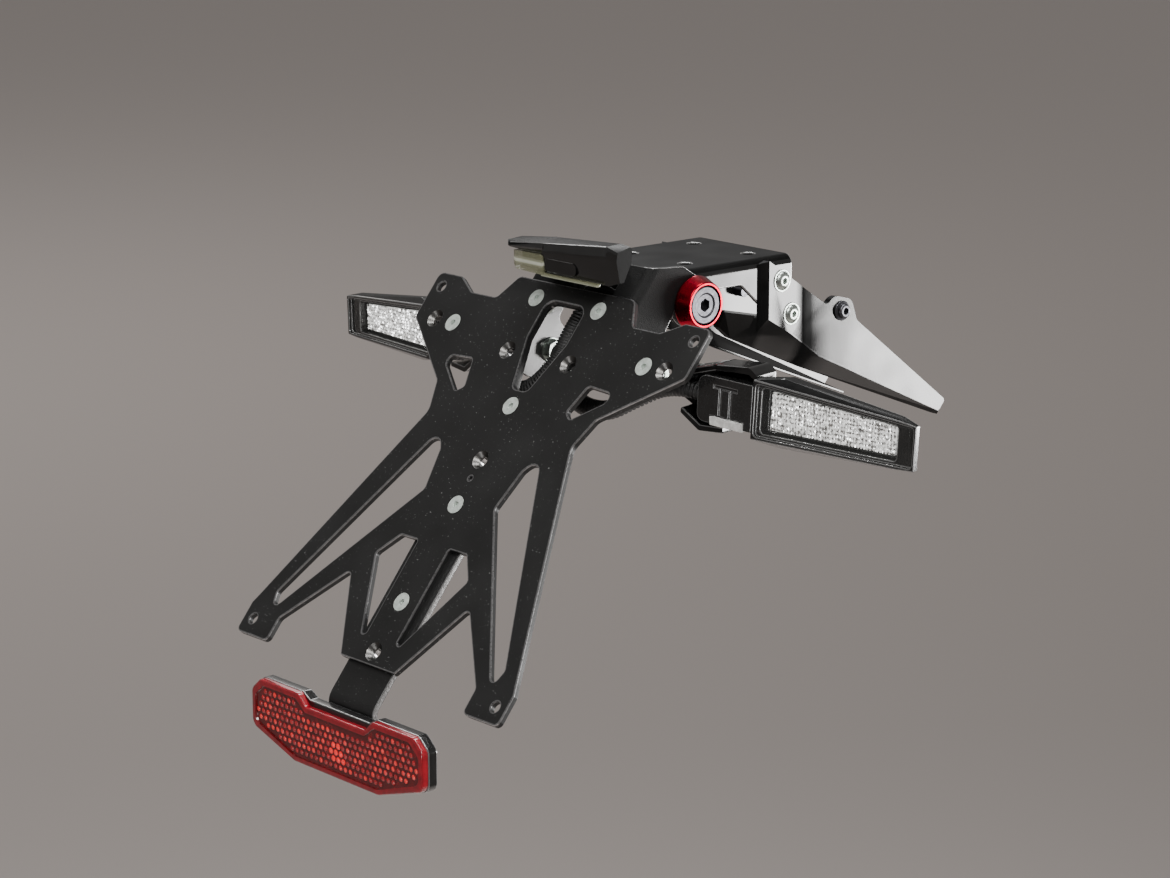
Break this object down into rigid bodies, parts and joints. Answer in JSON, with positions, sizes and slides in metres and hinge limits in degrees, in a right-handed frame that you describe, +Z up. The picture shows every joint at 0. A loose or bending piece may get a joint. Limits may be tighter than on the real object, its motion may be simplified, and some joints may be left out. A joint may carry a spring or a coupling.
{
  "type": "tail tidy",
  "caption": "Motorcycle tail tidy: folded bracket with blade arms, tilting number plate panel, plate light, red reflector and indicators.",
  "frame": {"origin": "centre of the four tail bolt holes, on the upper face of the tail bracket", "axes": "+Z up out of the upper face, +Y forward along the bike, +X to the bike's right"},
  "size_m": [0.4264, 0.381, 0.2481],
  "materials": {
    "bracket_black": "satin black coat",
    "texture_black": "fine-textured black coat",
    "panel_black": "matte black coat with bright cut edges",
    "zinc": "zinc plate",
    "black_bolt": "black oxide",
    "red_anodised": "gloss red anodising",
    "washer_plastic": "matte",
    "gloss_black": "gloss moulded",
    "red_lens": "prismatic red, moulded",
    "clear_lens": "clear, moulded",
    "led_yellow": "diode board",
    "silver_mirror": "faceted bright coat",
    "conduit_black": "ribbed conduit",
    "rubber_black": "matte rubber"
  },
  "bodies": {
    "mount": {"tail_bracket": "bracket_black", "arm_right": "bracket_black", "arm_left": "bracket_black", "pad_screws": "zinc", "pad_nuts": "zinc", "arm_bolts": "black_bolt", "pivot_spacer": "zinc", "pivot_bolts": "black_bolt", "collar_right": "red_anodised", "collar_left": "red_anodised", "pivot_washers": "washer_plastic"},
    "carrier": {"carrier_bracket": "texture_black", "plate_panel": "panel_black", "panel_screws": "zinc", "panel_nuts": "zinc", "reflector_strap": "texture_black", "reflector_housing": "gloss_black", "reflector_lens": "red_lens", "reflector_bolt": "zinc", "light_housing": "gloss_black", "light_lens": "clear_lens", "light_leds": "led_yellow", "light_screws": "zinc", "indicator_bracket_right": "texture_black", "indicator_bracket_left": "texture_black", "bracket_bolts": "zinc", "bracket_nuts": "zinc", "indicator_stem_right": "gloss_black", "indicator_stem_left": "gloss_black", "stem_clip_right": "zinc", "stem_clip_left": "zinc", "indicator_housing_right": "gloss_black", "indicator_housing_left": "gloss_black", "indicator_lens_right": "clear_lens", "indicator_lens_left": "clear_lens", "indicator_reflector_right": "silver_mirror", "indicator_reflector_left": "silver_mirror", "indicator_leds_right": "led_yellow", "indicator_leds_left": "led_yellow", "stem_screws": "zinc", "conduit_right": "conduit_black", "conduit_left": "conduit_black", "lead_grommet": "rubber_black"}
  },
  "joints": [
    {"name": "plate_tilt", "type": "hinge", "parent": "mount", "child": "carrier", "pos_m": [0, -0.0343, -0.0158], "axis": [1, 0, 0], "range_deg": [-8, 20]}
  ]
}
